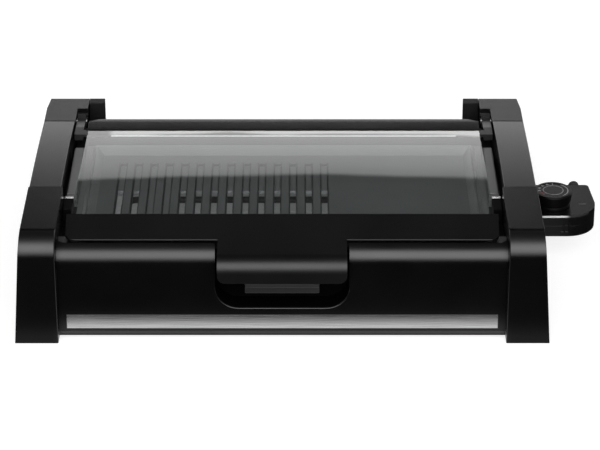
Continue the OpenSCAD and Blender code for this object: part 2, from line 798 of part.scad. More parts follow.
module terminal_bushes() {
    color(CERAMIC) place() for (s = [-1, 1]) difference() {
        rod_x(shield_x - 2, shield_x + 6, ctl_y + s * pin_pitch / 2, ctl_z, bush_r);
        rod_x(shield_x - 3, shield_x + 7, ctl_y + s * pin_pitch / 2, ctl_z, term_r + run);
    }
}

module terminal_guard() {
    half = pin_pitch / 2 + 13;
    color(STEEL) place() difference() {
        block([shield_x, ctl_y - half, ctl_z - 15], [shield_x + guard_t, ctl_y + half, ctl_z + 15]);
        for (s = [-1, 1])
            rod_x(shield_x - 1, shield_x + guard_t + 1, ctl_y + s * pin_pitch / 2, ctl_z, bush_r + 0.1);
        rod_x(shield_x - 1, shield_x + guard_t + 1, ctl_y, ctl_z, probe_r + 1);
    }
}

module probe_socket() {
    color(STEEL) place() difference() {
        union() {
            rod_x(socket_x0, shield_x - 1.5, ctl_y, ctl_z, socket_r);
            block([socket_x0 + 3, ctl_y - 2, ctl_z], [plate_x - rim_slope - 2, ctl_y + 2, plate_z]);
        }
        rod_x(socket_x0 + 2, shield_x, ctl_y, ctl_z, probe_r + run);
    }
}

// Outline of the lid's front strip from the side
nose_low = lid_edge_z - 1.8;
function strip_edge() = [[lid_edge_y + 0.8, nose_low], [lid_edge_y, lid_edge_z - 1],
    [lid_edge_y + 0.3, lid_edge_z], [glass_y, glass_top], [glass_y, ledge_z],
    [glass_y + ledge_d, ledge_z]];
function strip_outline() = concat(strip_edge(), [[glass_y + ledge_d, ledge_z - lid_skin],
    [glass_y - lid_skin, ledge_z - lid_skin], [glass_y - lid_skin, lid_line(glass_y - lid_skin) - lid_skin],
    [lid_edge_y + 6, lid_line(lid_edge_y + 6) - lid_skin], [lid_edge_y + 4, nose_low]]);
function strip_end() = concat(strip_edge(), [[glass_y + ledge_d, nose_low]]);

// Plan of the lid's front strip
function strip_plan() = concat(
    [[lid_x + lid_taper, glass_y + ledge_d + 1], [-lid_x - lid_taper, glass_y + ledge_d + 1]],
    arc([-lid_x + 9.5, lid_edge_y + 9.5], 9.5, 180, 270),
    arc([lid_x - 9.5, lid_edge_y + 9.5], 9.5, 270, 360));

// Outline of the tongue from the side: outer skin, inner skin
tongue_root = lid_edge_y + 6;
function tongue_outer() = concat([[tongue_root, lid_line(tongue_root)]],
    arc(tongue_c, tongue_r, 90 + lid_slope, 180), [[tongue_y, tongue_z]]);
function tongue_outline() = concat(tongue_outer(), [[tongue_y + tongue_skin, tongue_z]],
    arc(tongue_c, tongue_r - tongue_skin, 180, 90 + lid_slope),
    [[tongue_root, lid_line(tongue_root) - tongue_skin]]);
function tongue_cheek() = concat(tongue_outer(), [[tongue_y + 12, tongue_z],
    [tongue_y + 15, tongue_c[1] + 3], [tongue_root - 3, lid_line(tongue_root) - tongue_skin - 0.5]]);

module tongue_front() {
    half = tongue_w / 2;
    along_y(tongue_y - 1, tongue_root + 1) polygon(concat(
        [[half, lid_clip], [-half, lid_clip]],
        arc([-half + tongue_corner, tongue_z + tongue_corner], tongue_corner, 180, 270),
        arc([half - tongue_corner, tongue_z + tongue_corner], tongue_corner, 270, 360)));
}

module lid_front_panel() {
    half = tongue_w / 2;
    color(SATIN) place() union() {
        intersection() {
            union() {
                along_x(-lid_x - 5, lid_x + 5) polygon(strip_outline());
                for (s = [-1, 1]) on_side(s)
                    along_x(-lid_x - 5, -lid_x + lid_skin) polygon(strip_end());
                for (s = [-1, 1])
                    rod_z(recess_z + bumper_h, lid_line(bumper_y) - lid_skin + 0.5,
                        s * bumper_x, bumper_y, bumper_r + 1.5);
            }
            along_z(0, lid_clip) polygon(strip_plan());
        }
        intersection() {
            union() {
                along_x(-half, half) polygon(tongue_outline());
                for (s = [-1, 1]) on_side(s)
                    along_x(-half, -half + tongue_skin) polygon(tongue_cheek());
            }
            tongue_front();
        }
    }
}

// Inner half of the handle: a hook for the fingers
module handle_liner() {
    y0 = tongue_y + tongue_skin;
    y1 = y0 + liner_d;
    t = liner_t;
    top = lid_line(y1) - tongue_skin / cos(lid_slope);
    low = tongue_z - liner_drop - liner_h;
    color(BLACK) place() along_x(-liner_w / 2, liner_w / 2) polygon([
        [y0, tongue_z - liner_drop], [y0, tongue_c[1]], [y0 + t, tongue_c[1]],
        [y0 + t, tongue_z - liner_drop + 1.4], [y1 + t, low + 1.8], [y1 + t, top + 0.2],
        [y1 + 2 * t, top + 0.6], [y1 + 2 * t, low - liner_lip], [y1, low - liner_lip], [y1, low]]);
}

module lid_glass() {
    y0 = glass_y + glass_gap;
    y1 = bar_y0 + bar_slot - glass_gap;
    x0 = glass_x + glass_taper;
    color(CLEAR) place() along_z(glass_z, glass_top)
        polygon([[-x0, y0], [x0, y0], [glass_x, y1], [-glass_x, y1]]);
}

// Rubber strips between the glass and its two carriers
module glass_gaskets() {
    color(RUBBER) place() {
        block([-glass_x + 4, glass_y + 1, ledge_z], [glass_x - 4, glass_y + ledge_d - 1, glass_z]);
        block([-glass_x + 4, bar_y0 + 1, ledge_z], [glass_x - 4, bar_y0 + bar_slot - 1, glass_z]);
    }
}

module lid_rear_bar() {
    x1 = glass_x + 1;
    color(SATIN) place() intersection() {
        along_x(-x1, x1) polygon([[bar_y0, bar_bottom], [bar_y0, ledge_z],
            [bar_y0 + bar_slot, ledge_z], [bar_y0 + bar_slot, glass_top + gap],
            [bar_y0, glass_top + gap], [bar_y0 + 0.4, glass_top + 2 * gap],
            [bar_y1 - bar_edge - bar_flat, bar_top], [bar_y1 - bar_edge, bar_top],
            [bar_y1 - 1, bar_top - 1.2], [bar_y1, bar_top - bar_edge],
            [bar_y1, bar_bottom]]);
        along_z(0, lid_clip) polygon([[-x1, bar_y0 - 1], [x1, bar_y0 - 1],
            [x1, bar_y1 - bar_corner_y], [x1 - bar_corner_x, bar_y1],
            [-x1 + bar_corner_x, bar_y1], [-x1, bar_y1 - bar_corner_y]]);
    }
}

// Arm from the rear bar's underside to the hinge, with a heel that meets the cap's stop
module hinge_arm() {
    difference() {
        union() {
            along_x(-arm_x1, -arm_x0) polygon([[tab_y0, bar_bottom - 7], [tab_y0, bar_bottom],
                [bar_y1 - 4, bar_bottom], [hinge_y - 9, hinge_z + 4.6], [hinge_y, hinge_z + 4.6],
                [hinge_y, hinge_z - 4.6], [bar_y1 + 2, hinge_z - 4]]);
            rod_x(-arm_x1, -arm_x0, hinge_y, hinge_z, barrel_r);
            translate([-arm_x1, hinge_y, hinge_z]) rotate([lid_open, 0, 0])
                block([0, 0, -heel_w / 2], [arm_w, heel_len, heel_w / 2]);
            block([-arm_x1 + eps, tab_y0, bar_bottom - tab_t], [-tab_x, tab_y1, bar_bottom]);
        }
        rod_x(-arm_x1 - 1, -arm_x0 + 1, hinge_y, hinge_z, pin_r + run);
        for (x = screw_xs) rod_z(0, bar_bottom + 1, -x, screw_y, screw_r + 0.1);
    }
}

module left_hinge_arm() { color(DARK) place() hinge_arm(); }
module right_hinge_arm() { color(DARK) place() on_side(1) hinge_arm(); }

// Screws that hold the hinge arms under the rear bar
module lid_screws() {
    color(STEEL) place() for (s = [-1, 1], x = screw_xs) {
        rod_z(bar_bottom - tab_t - 1.6, bar_bottom - tab_t, s * x, screw_y, screw_head_r - 0.4);
        rod_z(bar_bottom - tab_t, bar_bottom, s * x, screw_y, screw_r);
    }
}

module lid_bumpers() {
    color(RUBBER) place() for (s = [-1, 1])
        rod_z(recess_z + 0.05, recess_z + bumper_h, s * bumper_x, bumper_y, bumper_r);
}

// Plan of the control, d inside its surface
function ctl_plan(d) = concat(
    [[ctl_x0 + d, ctl_y + nose_w / 2 - d], [ctl_x0 + d, ctl_y - nose_w / 2 + d],
    [ctl_step + d, ctl_y - nose_w / 2 + d], [ctl_step + d, ctl_y0 + d]],
    arc([ctl_x1 - ctl_r_front, ctl_y0 + ctl_r_front], ctl_r_front - d, -90, 0),
    arc([ctl_x1 - ctl_taper - ctl_r_back, ctl_y1 - ctl_r_back], ctl_r_back - d, 0, 90, 5),
    [[ctl_step + d, ctl_y1 - d], [ctl_step + d, ctl_y + nose_w / 2 - d]]);

post_xy = [[ctl_step + 12, ctl_y1 - 8], [ctl_x1 - 20, ctl_y0 + 14]];
post_r = 3.6;

// Holes that the control's parts need in its shells
module ctl_holes() {
    for (s = [-1, 1])
        rod_x(ctl_x0 - 1, ctl_x0 + ctl_wall + 1, ctl_y + s * pin_pitch / 2, ctl_z, sleeve_r + run);
    rod_x(ctl_x0 - 1, ctl_x0 + ctl_wall + 1, ctl_y, ctl_z, probe_r + run);
    rod_z(ctl_z1 - ctl_wall - 1, ctl_z1 + 1, knob_x, knob_y, spindle_r + run);
    rod_y(ctl_y1 - ctl_wall - 1, ctl_y1 + 1, gland_x, gland_z, gland_r + run);
}

// Vertical grip grooves in the control's front face
module grip_grooves() {
    for (i = [0:1])
        block([ctl_x1 - grip_in + i * grip_pitch, ctl_y0 - 1, ctl_z0 + 5],
            [ctl_x1 - grip_in + grip_w + i * grip_pitch, ctl_y0 + 1.2, ctl_z1 - 6]);
}

module control_top_shell() {
    color(SATIN) place() difference() {
        union() {
            difference() {
                along_z(ctl_z, ctl_z1) polygon(ctl_plan(0));
                along_z(ctl_z - 1, ctl_z1 - ctl_wall) polygon(ctl_plan(ctl_wall));
                block([ctl_x0 - 1, ctl_y0, ctl_z1 - nose_drop], [ctl_step, ctl_y1, ctl_z1 + 1]);
            }
            for (p = post_xy) rod_z(ctl_z, ctl_z1 - ctl_wall + eps, p[0], p[1], post_r);
        }
        for (p = post_xy) rod_z(ctl_z - 1, ctl_z + 8, p[0], p[1], screw_r - 0.4 + run);
        ctl_holes();
        grip_grooves();
    }
}

module control_bottom_shell() {
    color(SATIN) place() difference() {
        union() {
            difference() {
                along_z(ctl_z0, ctl_z) polygon(ctl_plan(0));
                along_z(ctl_z0 + ctl_wall, ctl_z + 1) polygon(ctl_plan(ctl_wall));
                block([ctl_x0 - 1, ctl_y0, ctl_z0 - 1], [ctl_step, ctl_y1, ctl_z0 + nose_drop]);
            }
            for (p = post_xy) rod_z(ctl_z0 + ctl_wall - eps, ctl_z, p[0], p[1], post_r);
        }
        for (p = post_xy) {
            rod_z(ctl_z0 - 1, ctl_z + 1, p[0], p[1], screw_r - 0.2);
            rod_z(ctl_z0 - 1, ctl_z0 + 1.6, p[0], p[1], post_r - 0.5);
        }
        ctl_holes();
        grip_grooves();
    }
}

// Bright line let in along the control's upper front edge
module control_trim() {
    color(STEEL) place() intersection() {
        along_z(ctl_z1 - 2.1, ctl_z1 - 0.1) difference() {
            polygon(ctl_plan(-0.4));
            polygon(ctl_plan(0));
        }
        block([ctl_step + 1, ctl_y0 - 1, ctl_z0], [ctl_x1 + 1, ctl_y0 + 9, ctl_z1]);
    }
}

module pointer_mark() {
    color(STEEL) place() block([knob_x + 27, knob_y - 0.5, ctl_z1], [knob_x + 35, knob_y + 0.5, ctl_z1 + 0.25]);
}

module thermostat_body() {
    half = pin_pitch / 2 + sleeve_r + 1;
    color(CERAMIC) place()
        block([sleeve_x1, ctl_y - half, ctl_z - therm_h / 2], [therm_x1, ctl_y + half, ctl_z + therm_h / 2]);
}

module contact_sleeves() {
    color(BRASS) place() for (s = [-1, 1]) difference() {
        rod_x(ctl_x0 + 0.5, sleeve_x1, ctl_y + s * pin_pitch / 2, ctl_z, sleeve_r);
        rod_x(ctl_x0, sleeve_x1 + 1, ctl_y + s * pin_pitch / 2, ctl_z, term_r + run);
    }
}

module sensor_probe() {
    color(STEEL) place() rod_x(socket_x0 + 4.5, sleeve_x1, ctl_y, ctl_z, probe_r);
}

module cord_gland() {
    y = ctl_y1 - ctl_wall;
    color(RUBBER) place() difference() {
        union() {
            rod_y(y - 1.8, y - run, gland_x, gland_z, gland_r + 0.4);
            rod_y(y - 1, y + 7, gland_x, gland_z, gland_r);
            for (i = [0:2])
                rod_y(y + 7 + i * 3, y + 9 + i * 3, gland_x, gland_z, gland_r - 0.5 - i * 0.3);
            rod_y(y + 6, y + gland_out, gland_x, gland_z, gland_r - 1.4);
        }
        rod_y(y - 3, y + gland_out + 1, gland_x, gland_z, cord_r);
    }
}

module control_screws() {
    color(STEEL) place() for (p = post_xy) {
        rod_z(ctl_z0 + 0.2, ctl_z0 + 1.6, p[0], p[1], post_r - 0.6);
        rod_z(ctl_z0 + 1.6, ctl_z + 7.5, p[0], p[1], screw_r - 0.4);
    }
}

module control_knob() {
    rim = 4;
    foot_in = 1.6;
    top = knob_z1 - 0.5;
    color(BLACK) place() difference() {
        translate([knob_x, knob_y, 0]) rotate_extrude($fn = 96) polygon([
            [0, knob_z0 + 1], [6, knob_z0 + 1], [6, top - 3], [knob_r - rim, top - 3],
            [knob_r - rim, knob_z0], [knob_r - foot_in, knob_z0], [knob_r - foot_in, knob_z0 + 2.6],
            [knob_r - foot_in - 0.5, knob_z0 + 3], [knob_r - foot_in + 0.3, knob_z0 + 5],
            [knob_r - 0.2, knob_z1 - 3.2], [knob_r, knob_z1 - 2.6], [knob_r, knob_z1 - 1.4],
            [knob_r - 1.3, knob_z1],
            [knob_r - rim, knob_z1], [knob_r - rim, top], [0, top]]);
        rod_z(knob_z0 - 1, top - 1.8, knob_x, knob_y, spindle_r + 0.02);
    }
}

module dial_ring() {
    color(STEEL) place() difference() {
        rod_z(knob_z1 - 0.5, knob_z1 - 0.2, knob_x, knob_y, knob_r * 0.54);
        rod_z(knob_z1 - 1, knob_z1, knob_x, knob_y, knob_r * 0.54 - 0.8);
    }
}

module knob_spindle() {
    color(BRASS) place()
        rod_z(ctl_z + therm_h / 2 + run, knob_z1 - 2.4, knob_x, knob_y, spindle_r);
}

left_leg();
right_leg();
left_foot_plate();
right_foot_plate();
rubber_feet();
leg_screws();
left_handle_cover();
right_handle_cover();
left_hinge_cap();
right_hinge_cap();
hinge_pins();
front_panel();
finger_pocket();
front_trim();
rear_panel();
base_floor();
deck_frame();
left_side_rail();
right_side_rail();
heat_shield();
drip_tray();
plate_supports();
grill_plate();
heating_element();
element_clips();
terminal_pins();
terminal_bushes();
terminal_guard();
probe_socket();
lid_front_panel();
handle_liner();
lid_glass();
glass_gaskets();
lid_rear_bar();
left_hinge_arm();
right_hinge_arm();
lid_screws();
lid_bumpers();
control_top_shell();
control_bottom_shell();
control_trim();
pointer_mark();
thermostat_body();
contact_sleeves();
sensor_probe();
cord_gland();
control_screws();
control_knob();
dial_ring();
knob_spindle();
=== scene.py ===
import json
import math

import bmesh
import bpy
from mathutils import Matrix, Vector


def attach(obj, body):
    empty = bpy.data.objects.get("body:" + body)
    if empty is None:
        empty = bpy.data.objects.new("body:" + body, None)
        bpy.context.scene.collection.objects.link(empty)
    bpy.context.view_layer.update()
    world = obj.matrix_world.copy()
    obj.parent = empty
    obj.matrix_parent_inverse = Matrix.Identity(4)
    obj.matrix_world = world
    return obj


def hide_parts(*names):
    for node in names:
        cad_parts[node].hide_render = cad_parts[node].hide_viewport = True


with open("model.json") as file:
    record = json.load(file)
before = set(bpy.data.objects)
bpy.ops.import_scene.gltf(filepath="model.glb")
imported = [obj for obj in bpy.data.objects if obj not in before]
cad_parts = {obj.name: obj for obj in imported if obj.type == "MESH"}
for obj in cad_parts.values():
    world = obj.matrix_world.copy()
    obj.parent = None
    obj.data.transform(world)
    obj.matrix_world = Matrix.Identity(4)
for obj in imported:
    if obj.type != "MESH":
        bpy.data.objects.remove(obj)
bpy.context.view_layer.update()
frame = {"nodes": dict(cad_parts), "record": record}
nodes = frame["nodes"]
MM = 0.001
RIB_TOP = 82 * MM    # level of the grill plate's ribs


# Material helpers

def new_material(name):
    """An empty node material with a Principled shader; returns (material, tree, shader)."""
    material = bpy.data.materials.new(name)
    material.use_nodes = True
    tree = material.node_tree
    return material, tree, tree.nodes["Principled BSDF"]


def add(tree, kind, settings=None, **inputs):
    """A shader node with plain settings, and inputs given as values or as sockets to link."""
    made = tree.nodes.new(kind)
    for key, value in (settings or {}).items():
        setattr(made, key, value)
    for key, value in inputs.items():
        name = key.replace("_", " ")
        socket = next((s for s in made.inputs if s.name == name and s.enabled), None)
        socket = socket or made.inputs[int(key[1:])]
        if isinstance(value, bpy.types.NodeSocket):
            tree.links.new(value, socket)
        else:
            socket.default_value = value
    return made


def math_node(tree, operation, a, b=0.0, clamp=False):
    settings = {"operation": operation, "use_clamp": clamp}
    return add(tree, "ShaderNodeMath", settings, i0=a, i1=b).outputs[0]


def times(tree, a, b):
    return math_node(tree, "MULTIPLY", a, b)


def rest_of(tree, share):
    """What is left of 1 when a share is taken away."""
    return math_node(tree, "SUBTRACT", 1.0, share)


def axis_parts(tree, vector):
    """The X, Y and Z of a vector, as sockets."""
    return add(tree, "ShaderNodeSeparateXYZ", None, Vector=vector).outputs


def face_normal(tree):
    return axis_parts(tree, add(tree, "ShaderNodeNewGeometry").outputs["Normal"])


def object_point(tree, stretch=(1, 1, 1)):
    """The surface point in metres, stretched per axis, which places every texture."""
    coords = add(tree, "ShaderNodeTexCoord").outputs["Object"]
    settings = {"operation": "MULTIPLY"}
    return add(tree, "ShaderNodeVectorMath", settings, i0=coords, i1=stretch).outputs[0]


def noise(tree, scale, detail=2.0, stretch=(1, 1, 1)):
    """Noise with `scale` cells per metre."""
    return add(tree, "ShaderNodeTexNoise", None, Vector=object_point(tree, stretch),
               Scale=scale, Detail=detail).outputs["Fac"]


def ramp(tree, value, start, end, first, last):
    """Runs straight from first to last as value runs from start to end."""
    return add(tree, "ShaderNodeMapRange", None, Value=value, From_Min=start, From_Max=end,
               To_Min=first, To_Max=last).outputs[0]


NOISE_LOW, NOISE_HIGH = 0.3, 0.7    # middle range of a noise


def spread(tree, value, low, high):
    """Moves a noise's middle range to the range low to high."""
    return ramp(tree, value, NOISE_LOW, NOISE_HIGH, low, high)


def below(tree, value, edge, soft):
    """1 where value is under the edge, 0 over it, with a soft step."""
    return add(tree, "ShaderNodeMapRange", {"interpolation_type": "SMOOTHSTEP"}, Value=value,
               From_Min=edge - soft, From_Max=edge + soft, To_Min=1.0, To_Max=0.0).outputs[0]


def above(tree, value, edge, soft):
    return rest_of(tree, below(tree, value, edge, soft))


def bump(tree, height, distance):
    return add(tree, "ShaderNodeBump", None, Height=height, Distance=distance, Strength=1.0).outputs[0]


def grey(value):
    return (value, value, value, 1.0)


def blend(tree, share, first, second):
    """Mixes two colours: share 0 gives the first and 1 the second."""
    return add(tree, "ShaderNodeMix", {"data_type": "RGBA"}, i0=share, i6=first, i7=second).outputs[2]


def tinted(tree, value, dark, light):
    """Colour that runs from dark to light as value runs over a noise's middle range."""
    return blend(tree, spread(tree, value, 0.0, 1.0), dark, light)


def greys(tree, value, dark, light):
    return tinted(tree, value, grey(dark), grey(light))


def dress(tree, shader, colour, rough, relief=None, depth=0.0):
    """Links a shader's colour and roughness, and its relief, with the depth in metres, if it has one."""
    tree.links.new(colour, shader.inputs["Base Color"])
    tree.links.new(rough, shader.inputs["Roughness"])
    if relief is not None:
        tree.links.new(bump(tree, relief, depth), shader.inputs["Normal"])


# Materials

GRAIN = 2600               # cells per metre of the moulded plastic's grain
FINE_GRAIN = 0.00002       # its depth in metres
COARSE_GRAIN = 0.00004     # its depth on the dull plastics
UNEVEN = 14                # cells per metre of slow changes over a surface
TONE_CHANGE = 0.15         # share by which a plastic's tone changes
GLOSS_CHANGE = 0.03        # amount by which its roughness changes
# A face is level or upright by the upward part of its normal, with a soft step
LEVEL_FROM, LEVEL_SOFT = 0.985, 0.012
UPRIGHT_TO, UPRIGHT_SOFT = 0.17, 0.12


def plastic(name, colour, rough, specular, grain=FINE_GRAIN, level=None, upright=None):
    """Moulded plastic: fine grain, a slow change of gloss and a faint change of tone.
    level and upright are the (roughness, specular) pairs of its level and upright faces."""
    material, tree, shader = new_material(name)
    slow = noise(tree, UNEVEN, 3.0)
    tone = greys(tree, slow, colour * (1 - TONE_CHANGE), colour * (1 + TONE_CHANGE))
    gloss = spread(tree, slow, rough - GLOSS_CHANGE, rough + GLOSS_CHANGE)
    upward = face_normal(tree)[2]
    shares = []
    if level is not None:
        shares.append((above(tree, upward, LEVEL_FROM, LEVEL_SOFT), level))
    if upright is not None:
        shares.append((below(tree, upward, UPRIGHT_TO, UPRIGHT_SOFT), upright))
    shine = specular
    for share, (rough_there, specular_there) in shares:
        gloss = math_node(tree, "ADD", gloss, times(tree, share, rough_there - rough))
        shine = math_node(tree, "ADD", times(tree, share, specular_there - specular), shine)
    shader.inputs["Specular IOR Level"].default_value = specular
    if shares:
        tree.links.new(shine, shader.inputs["Specular IOR Level"])
    dress(tree, shader, tone, gloss, noise(tree, GRAIN), grain)
    return material


BRUSH_LINES = 2400         # lines per metre across a brushed metal
BRUSH_STRETCH = 0.012      # how much coarser they are along their run


def brushed(name, colour, rough, along):
    """Brushed metal with fine lines that run along one axis."""
    material, tree, shader = new_material(name)
    stretch = [1.0, 1.0, 1.0]
    stretch[along] = BRUSH_STRETCH
    lines = noise(tree, BRUSH_LINES, 3.0, stretch)
    tone = greys(tree, lines, colour * 0.8, colour * 1.1)
    dress(tree, shader, tone, spread(tree, lines, rough - 0.07, rough + 0.07), lines, 0.00003)
    shader.inputs["Metallic"].default_value = 1.0
    return material


def sheet_metal(name, colour, rough, metallic=1.0, glow=0.0):
    """Bright rolled sheet with faint streaks and a few dull patches; glow is painted light, an emission
    that stands for stray light.
    """
    material, tree, shader = new_material(name)
    streaks = noise(tree, 260, 2.0, (0.06, 1, 1))
    patches = noise(tree, 18, 3.0)
    tone = greys(tree, streaks, colour * 0.9, colour)
    dress(tree, shader, tone, spread(tree, patches, rough - 0.06, rough + 0.06), streaks, 0.00004)
    shader.inputs["Metallic"].default_value = metallic
    shader.inputs["Emission Strength"].default_value = glow
    return material


GROOVE_X = -199.5 * MM      # middle of the plate's first groove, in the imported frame
GROOVE_PITCH = 16.3 * MM
GROOVE_COUNT = 14
GROOVE_END = 70.5 * MM      # rear end of the grooves
SLOT_END = 20 * MM          # just behind the rear end of the slots
RIBS_X = GROOVE_X + GROOVE_PITCH * (GROOVE_COUNT - 1) / 2
RIBS_HALF = GROOVE_PITCH * GROOVE_COUNT / 2
EDGE_SHADE_IN, EDGE_SHADE_OUT = 3.0 * MM, 4.5 * MM    # painted shade: a dark line along each edge of a groove
EDGE_SHADE_SOFT = 0.25 * MM
DEEP_UNDER, DEEP_SOFT = 1.0 * MM, 0.8 * MM    # how far under the ribs' tops a groove's surface lies
STEEP_TO, REAR_TO, TURN_SOFT = 0.7, -0.6, 0.2     # parts of the normal on walls and at slot ends
RIB_GREYS = (0.078, 0.122)
# Painted light: the grooves are lighter than the ribs, to make up for the shade in them
GROOVE_LIGHT_GREYS = (0.130, 0.190)
# Painted shade on the grooves' walls and along their edges
SHADE_GREYS = (0.006, 0.012)
# Painted highlight on the slots' rear end walls
GLINT_GREYS = (0.30, 0.45)


def coated_plate():
    """Dark non-stick coating with a fine speckle; painted shade darkens the grooves' walls and edges, the
    grooves are painted lighter than the ribs against their shade, and a painted highlight lies on the
    slots' rear ends.
    """
    material, tree, shader = new_material("plate_coating")
    speckle = noise(tree, 1500, 1.0)
    place = axis_parts(tree, object_point(tree))
    facing = face_normal(tree)
    deep = below(tree, place[2], RIB_TOP - DEEP_UNDER, DEEP_SOFT)
    # Painted shade: the grooves' walls get the dark greys
    steep = times(tree, below(tree, facing[2], STEEP_TO, TURN_SOFT), deep)
    # Painted highlight: the walls at the slots' rear ends, which face the front, get a light grey
    slot_end = times(tree, below(tree, facing[1], REAR_TO, TURN_SOFT), deep)
    slot_end = times(tree, slot_end, below(tree, place[1], SLOT_END, 1 * MM))
    off = math_node(tree, "PINGPONG", math_node(tree, "SUBTRACT", place[0], GROOVE_X), GROOVE_PITCH / 2)
    lines = times(tree, above(tree, off, EDGE_SHADE_IN, EDGE_SHADE_SOFT), below(tree, off, EDGE_SHADE_OUT, EDGE_SHADE_SOFT))
    across = math_node(tree, "ABSOLUTE", math_node(tree, "SUBTRACT", place[0], RIBS_X))
    ribbed = times(tree, below(tree, across, RIBS_HALF, 0.2 * MM),
                   below(tree, place[1], GROOVE_END, 0.5 * MM))
    dark = math_node(tree, "MAXIMUM", steep, times(tree, lines, ribbed))
    # Painted light: a groove's surface is lighter than a rib's top
    coating = blend(tree, deep, greys(tree, speckle, *RIB_GREYS), greys(tree, speckle, *GROOVE_LIGHT_GREYS))
    shaded_coat = blend(tree, dark, coating, greys(tree, speckle, *SHADE_GREYS))
    glinted_coat = blend(tree, slot_end, shaded_coat, greys(tree, speckle, *GLINT_GREYS))
    dress(tree, shader, glinted_coat, spread(tree, noise(tree, 30, 3.0), 0.34, 0.46), noise(tree, 900), 0.00006)
    shader.inputs["Specular IOR Level"].default_value = 0.35
    return material


RUBBER_GREY = 0.02


def rubber():
    material, tree, shader = new_material("rubber")
    grain = noise(tree, 1200)
    tone = greys(tree, grain, RUBBER_GREY * 0.8, RUBBER_GREY * 1.2)
    dress(tree, shader, tone, spread(tree, grain, 0.6, 0.72), grain, 0.00005)
    shader.inputs["Specular IOR Level"].default_value = 0.3
    return material


def ceramic():
    material, tree, shader = new_material("ceramic")
    grain = noise(tree, 1600)
    tone = tinted(tree, grain, (0.72, 0.70, 0.64, 1), (0.85, 0.83, 0.78, 1))
    dress(tree, shader, tone, spread(tree, grain, 0.5, 0.7), grain, 0.00005)
    return material


def brass():
    material, tree, shader = new_material("brass")
    marks = noise(tree, 800)
    tone = tinted(tree, marks, (0.58, 0.46, 0.22, 1), (0.75, 0.62, 0.34, 1))
    dress(tree, shader, tone, spread(tree, marks, 0.22, 0.36))
    shader.inputs["Metallic"].default_value = 1.0
    return material


INK_CELLS = 700            # cells per metre of the ink's uneven tone
INK_ROUGH = (0.4, 0.5)


def painted(name, colour):
    """Flat printed ink, a little uneven."""
    material, tree, shader = new_material(name)
    uneven = noise(tree, INK_CELLS)
    dark = tuple(c * 0.85 for c in colour) + (1,)
    tone = tinted(tree, uneven, dark, tuple(colour) + (1,))
    dress(tree, shader, tone, spread(tree, uneven, *INK_ROUGH))
    return material


TRIM_END, TRIM_FADE = 264 * MM, 4 * MM    # where the silver paint ends, and half the length it fades over
TRIM_PAST_GREYS = (0.02, 0.03)
SILVER = (0.78, 0.92)


def silver_line():
    """Silver paint on the control's trim, which ends near the outer corner, with a dark grey past it."""
    material, tree, shader = new_material("silver_paint")
    uneven = noise(tree, INK_CELLS)
    silver_share = below(tree, axis_parts(tree, object_point(tree))[0], TRIM_END, TRIM_FADE)
    tone = blend(tree, silver_share, greys(tree, uneven, *TRIM_PAST_GREYS), greys(tree, uneven, *SILVER))
    dress(tree, shader, tone, spread(tree, uneven, *INK_ROUGH))
    return material


GLASS_TINT = (0.93, 0.95, 0.95, 1)
GLASS_GAIN = 1.9       # both faces of the pane reflect, and only the front ones are counted
GLASS_FILM = 0.04      # share by which a faint film changes the reflection
GLASS_WAVE = 0.00004   # metres that the pane departs from a true plane


def clear_glass():
    """Thin clear glass: the front faces reflect by angle, the rest passes straight through."""
    material, tree, shader = new_material("lid_glass")
    tree.nodes.remove(shader)
    waves = bump(tree, noise(tree, 9, 1.0), GLASS_WAVE)
    gloss = add(tree, "ShaderNodeBsdfAnisotropic", None, Color=(1, 1, 1, 1), Roughness=0.0, Normal=waves)
    clear = add(tree, "ShaderNodeBsdfTransparent", None, Color=GLASS_TINT)
    angle = add(tree, "ShaderNodeFresnel", None, IOR=1.5).outputs[0]
    back = add(tree, "ShaderNodeNewGeometry").outputs["Backfacing"]
    film = spread(tree, noise(tree, 5, 3.0), GLASS_GAIN * (1 - GLASS_FILM), GLASS_GAIN * (1 + GLASS_FILM))
    share = math_node(tree, "MULTIPLY", times(tree, angle, film), rest_of(tree, back), clamp=True)
    mix = add(tree, "ShaderNodeMixShader", None, i0=share, i1=clear.outputs[0], i2=gloss.outputs[0])
    tree.links.new(mix.outputs[0], tree.nodes["Material Output"].inputs["Surface"])
    return material


LEG_PLASTIC = plastic("leg_plastic", 0.0024, 0.40, 0.60, level=(0.18, 0.2), upright=(0.24, 0.42))
COVER_PLASTIC = plastic("cover_plastic", 0.004, 0.24, 0.5)
PANEL_PLASTIC = plastic("panel_plastic", 0.0018, 0.32, 0.5, upright=(0.24, 0.42))
LID_PLASTIC = plastic("lid_plastic", 0.0025, 0.38, 0.42)
# The finger pocket's plastic is darker than the panel's and nearly without shine: painted shade in the
# recess under the tongue
POCKET_SHADE_PLASTIC = plastic("pocket_shade_plastic", 0.0008, 0.7, 0.03, COARSE_GRAIN)
LINER_PLASTIC = plastic("liner_plastic", 0.02, 0.32, 0.5)
KNOB_PLASTIC = plastic("knob_plastic", 0.002, 0.4, 0.16, level=(0.22, 0.42))
INNER_PLASTIC = plastic("inner_plastic", 0.004, 0.5, 0.3, COARSE_GRAIN)
MATT_PLASTIC = plastic("matt_plastic", 0.0025, 0.65, 0.1, COARSE_GRAIN)
RAIL_PLASTIC = plastic("rail_plastic", 0.17, 0.45, 0.5)
CONTROL_PLASTIC = plastic("control_plastic", 0.003, 0.30, 0.5, level=(0.22, 0.42))
TRIM_STEEL = brushed("trim_steel", 0.74, 0.17, 0)
HARDWARE_STEEL = brushed("hardware_steel", 0.5, 0.36, 2)
